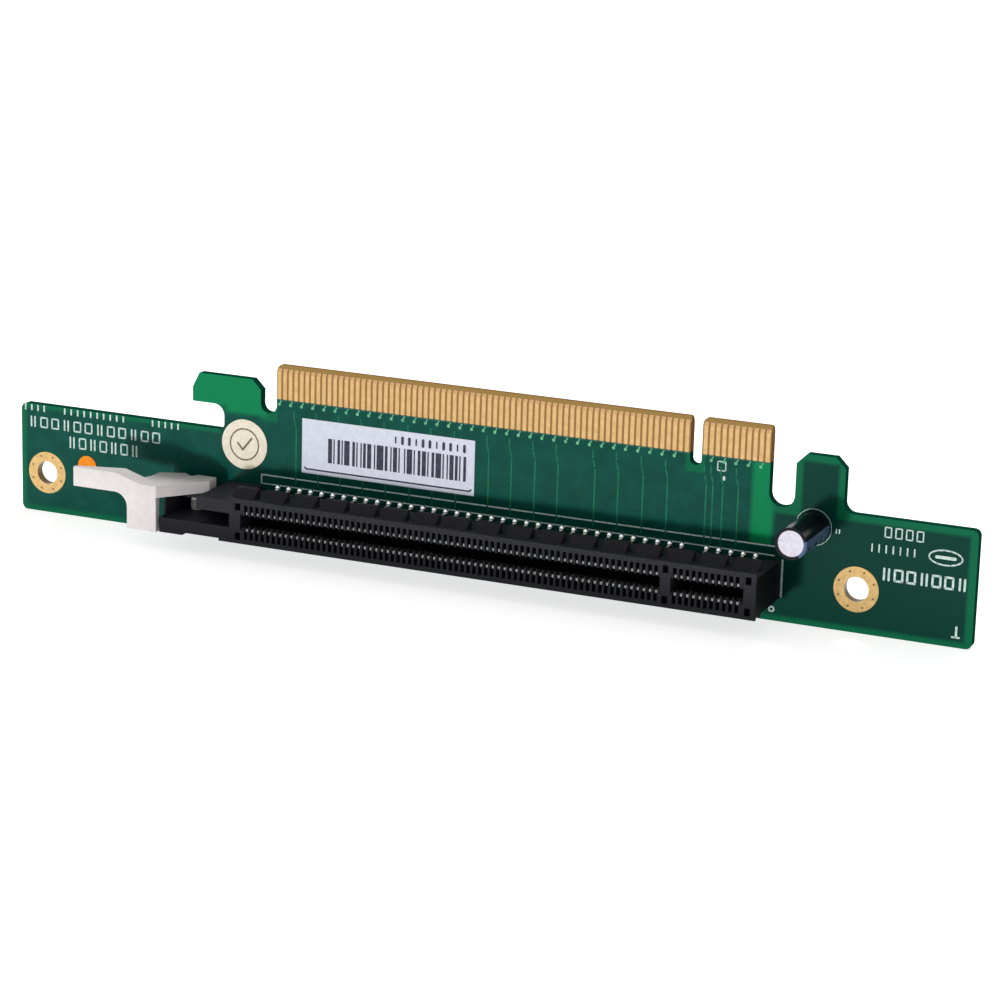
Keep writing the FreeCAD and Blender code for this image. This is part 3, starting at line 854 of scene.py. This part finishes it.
# %% Bars, blocks and the label's foot
paper = label_low.y
bar_widths = [3, 1, 2, 1, 4, 2, 1, 1, 2, 3, 1, 5, 2, 1, 3, 1, 1, 4, 1, 2, 3, 1, 2, 4, 1, 1, 3, 2, 1, 2]
bar_gaps = [1, 2, 1, 1, 2, 1, 2, 1, 1, 2, 1, 1, 2, 1, 1, 3, 1, 1, 2, 1, 1, 2, 1, 1, 2, 1, 1, 1, 2, 1]
bars_left, bars_length = -18.2, 24.6
bar_foot, bar_top = 8.35, 12.4
block_foot, block_top = 13.2, 14.1
unit = bars_length / (sum(bar_widths) + sum(bar_gaps))
bars = []
x = bars_left
for width, gap in zip(bar_widths, bar_gaps):
    middle = x + width * unit / 2
    bars.append(stroke((middle, bar_foot), (middle, bar_top), width * unit, print_thick, paper, square=True))
    x += (width + gap) * unit
for i in range(11):
    x = -6.2 + i * 1.2
    bars.append(stroke((x, block_foot), (x, block_top), 0.5 if i % 3 else 0.28, print_thick, paper))
left, right = label_low.x / mm + 0.5, label_high.x / mm - 0.5
foot_line = [(left, 7.15), (left + 0.3, 6.9), (right - 0.3, 6.9), (right, 7.15)]
bars += path(foot_line, 0.28, print_thick, paper)
finish_piece(bars, "label_print", dark_ink, "card")

# %% [markdown]
# ## Stamp on the round sticker
#
# The round sticker says that the card has been inspected. Here it carries a ring and a plain tick, both
# drawn with the same strokes as the print.

# %% Ring and tick
stamp_x = (sticker_low.x + sticker_high.x) / 2 / mm
stamp_z = (sticker_low.z + sticker_high.z) / 2 / mm
stamp = path(round_path(stamp_x, stamp_z, 2.6, 2.6, 20), 0.26, print_thick, sticker_low.y)
tick = [(stamp_x - 1.2, stamp_z + 0.1), (stamp_x - 0.3, stamp_z - 0.9), (stamp_x + 1.3, stamp_z + 1.1)]
stamp += path(tick, 0.36, print_thick, sticker_low.y)
finish_piece(stamp, "sticker_stamp", brown_ink, "card")

# %% [markdown]
# ## Solder beads
#
# The slot's outer pins stand in solder on the component face, in a lighter copy of the tin that is a
# painted highlight. A bead is the near half of a stretched ball, cut flat by the board's face with bisect,
# which also closes the cut. It is modelled at the first pin and copied to every second contact of each row.

# %% Beads along the slot
bead_size = Vector((0.46, 0.85, 0.6)) * mm
row_inset = 0.12 * mm
upper_row = upper_high.z - row_inset
lower_row = lower_low.z + row_inset
first_x = contact_x[1]
begin()
bpy.ops.mesh.primitive_uv_sphere_add(segments=16, ring_count=12, location=(first_x, face, upper_row))
bead = bpy.context.active_object
bead.scale = bead_size
bpy.ops.object.transform_apply(location=True, rotation=True, scale=True)
bpy.ops.object.mode_set(mode="EDIT")
bpy.ops.mesh.select_all(action="SELECT")
bpy.ops.mesh.bisect(plane_co=(first_x, face, upper_row), plane_no=(0, 1, 0),
                    use_fill=True, clear_outer=True)
bpy.ops.object.mode_set(mode="OBJECT")
bpy.ops.object.shade_smooth_by_angle(angle=math.radians(60))
offsets = [(x - first_x, 0, 0) for x in contact_x[3::2]]
offsets += [(x - first_x, 0, lower_row - upper_row) for x in contact_x[0::2]]
finish_piece(copies(bead, offsets), "pin_beads", tin_painted_highlight, "card")

# %% [markdown]
# ## Spring tabs
#
# Each spring ends in a small folded tab that rests on the rim of its cavity. The tab is a block with
# softened edges, modelled once at the first contact and copied along both sides of the card opening.

# %% Tabs at the mouth of the slot
tab_size = Vector((0.62, 0.3, 0.5)) * mm
tab_level = 1.42 * mm
tab_inset = 0.12 * mm
slot_z = (upper_high.z + lower_low.z) / 2
tab = soft_block((contact_x[0], upper_low.y + tab_inset, slot_z + tab_level), tab_size, 0.1 * mm)
bpy.ops.object.shade_smooth_by_angle(angle=math.radians(60))
offsets = [(x - contact_x[0], 0, 0) for x in contact_x[1:]]
offsets += [(x - contact_x[0], 0, -2 * tab_level) for x in contact_x]
finish_piece(copies(tab, offsets), "contact_tabs", tab_metal, "card")

# %% [markdown]
# ## Stitching vias in the rings
#
# Eight small vias pierce each screw ring and tie its two faces together. Each shows as a shallow dark pad
# on both faces. One pad is modelled and copied to the other 31 places.

# %% Ring vias
stitch_circle = 2.95 * mm
stitch_places = []
for name in ("screw_ring_left", "screw_ring_right"):
    low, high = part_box(name)
    ring_x, ring_z = (low.x + high.x) / 2, (low.z + high.z) / 2
    for k in range(8):
        turn = math.radians(22.5 + 45 * k)
        x = ring_x + stitch_circle * math.cos(turn)
        z = ring_z + stitch_circle * math.sin(turn)
        stitch_places += [Vector((x, low.y, z)), Vector((x, high.y, z))]
stitch = disc(*stitch_places[0], 0.19 * mm, 0.02 * mm, 10, 0.006 * mm)
offsets = [place - stitch_places[0] for place in stitch_places[1:]]
finish_piece(copies(stitch, offsets), "ring_vias", hole_dark, "card")

# %% [markdown]
# ## The bracket's end wall
#
# Behind the latch, a thin black wall closes the channel of the bracket. It stands on the bracket's floor
# between the two arms, and the latch's cheek passes over it.

# %% Wall
wall_low = Vector((housing_low.x + 0.02 * mm, housing_low.y + 1.3 * mm, -1.35 * mm))
wall_high = Vector((housing_low.x + 0.5 * mm, -1.9 * mm, 1.66 * mm))
wall = soft_block((wall_low + wall_high) / 2, wall_high - wall_low, 0.1 * mm)
finish_piece([wall], "bracket_end_wall", black_plastic, "card")

# %% [markdown]
# ## The latch with softened edges
#
# A moulded part has no knife edges. A copy of the measured latch is merged into one skin, its flat faces
# are made whole again, and a small bevel runs round every sharp edge. The copy stands for the original.

# %% Soften the latch
begin()
latch = nodes["card_latch"].copy()
latch.data = nodes["card_latch"].data.copy()
bpy.context.scene.collection.objects.link(latch)
select([latch])
bpy.ops.object.mode_set(mode="EDIT")
bpy.ops.mesh.select_all(action="SELECT")
bpy.ops.mesh.remove_doubles(threshold=0.002 * mm)
bpy.ops.mesh.dissolve_limited(angle_limit=math.radians(1))
bpy.ops.object.mode_set(mode="OBJECT")
edge = latch.modifiers.new("soft edges", "BEVEL")
edge.width = 0.16 * mm
edge.segments = 2
edge.limit_method = "ANGLE"
edge.angle_limit = math.radians(35)
bpy.ops.object.modifier_apply(modifier=edge.name)
bpy.ops.object.shade_smooth_by_angle(angle=math.radians(40))
finish_piece([latch], "latch_moulding", nylon, "latch")
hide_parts("card_latch")

# %% [markdown]
# ## Camera
#
# A long lens from the front right and above keeps the board's long edges nearly parallel. The camera is
# turned to look along one direction, then rolled a little, because the card leans by that much.

# %% Camera
scene = bpy.context.scene
lens = bpy.data.cameras.new("camera")
camera = bpy.data.objects.new("camera", lens)
scene.collection.objects.link(camera)
camera.location = Vector((200.6, -434.4, 131.15)) * mm
looks_along = Vector((-0.3849, 0.8870, -0.2552))
roll = math.radians(1.62)
camera.rotation_mode = "QUATERNION"
camera.rotation_quaternion = looks_along.to_track_quat("-Z", "Y") @ Quaternion((0, 0, 1), roll)
lens.lens = 112.13
lens.sensor_width = 36
scene.camera = camera
print("camera at", [round(v, 3) for v in camera.location])

# %% [markdown]
# ## The room
#
# The room gives an even glow from all sides. Camera and mirror rays see it as plain white, so the
# background is white and metal has something bright to show, without more light on the card.

# %% World
scene.view_settings.view_transform = "Standard"
room_glow = 0.38
world = bpy.data.worlds.new("room")
scene.world = world
world.use_nodes = True
tree = world.node_tree
background = tree.nodes["Background"]
background.inputs["Color"].default_value = (1, 1, 1, 1)


def seen_directly(tree):
    """1 for camera, mirror and see-through rays, 0 for the rest."""
    rays = tree.nodes.new("ShaderNodeLightPath")
    seen = maths(tree, "MAXIMUM", rays.outputs["Is Camera Ray"], rays.outputs["Is Glossy Ray"])
    return maths(tree, "MAXIMUM", seen, rays.outputs["Is Transmission Ray"])


strength = maths(tree, "MULTIPLY_ADD", seen_directly(tree), 1 - room_glow, room_glow)
feed(tree, background.inputs["Strength"], strength)
print("room glow", room_glow)

# %% [markdown]
# ## Lamps
#
# One sun from the front, low and to the left, gives the clear shadows above and beside the slot. A softer
# one lights the far side and the tops. Both are hidden from mirror rays, because a sun's reflection would
# wash out the board's shine.

# %% Lamps
def sun(name, shines_along, strength, spread):
    """A distant lamp with a soft edge to its shadows."""
    light = bpy.data.lights.new(name, "SUN")
    light.energy = strength * math.pi
    light.angle = math.radians(spread)
    lamp = bpy.data.objects.new(name, light)
    lamp.visible_glossy = False
    scene.collection.objects.link(lamp)
    lamp.rotation_euler = Vector(shines_along).to_track_quat("-Z", "Y").to_euler()
    print(name, "at", strength)


sun("front sun", (0.29, 1.0, 0.27), 0.64, 5)
sun("back sun", (0.2, -1.0, -1.1), 0.66, 25)

# %% [markdown]
# ## Floor
#
# The card stands on its long edge on a plain pale floor, which catches its shadow. The floor casts none
# itself, so the low sun reaches the card, and a part of its paint glows for the camera alone, so it
# blends into the white room.

# %% Floor
floor_white = 0.9
floor_glow = 0.72
begin()
bpy.ops.mesh.primitive_plane_add(size=6, location=(0, 0, board_low.z))
floor = bpy.context.active_object
floor.name = "floor"
floor.visible_shadow = False
paint = material("floor paint", (floor_white, floor_white, floor_white), 0.9, specular=0.0)
tree = paint.node_tree
glow = maths(tree, "MULTIPLY", seen_directly(tree), floor_glow)
shader_of(paint).inputs["Emission Color"].default_value = (1, 1, 1, 1)
feed(tree, shader_of(paint).inputs["Emission Strength"], glow)
floor.data.materials.append(paint)
print("floor at", round(board_low.z / mm, 2), "mm")

# %% [markdown]
# ## Finish
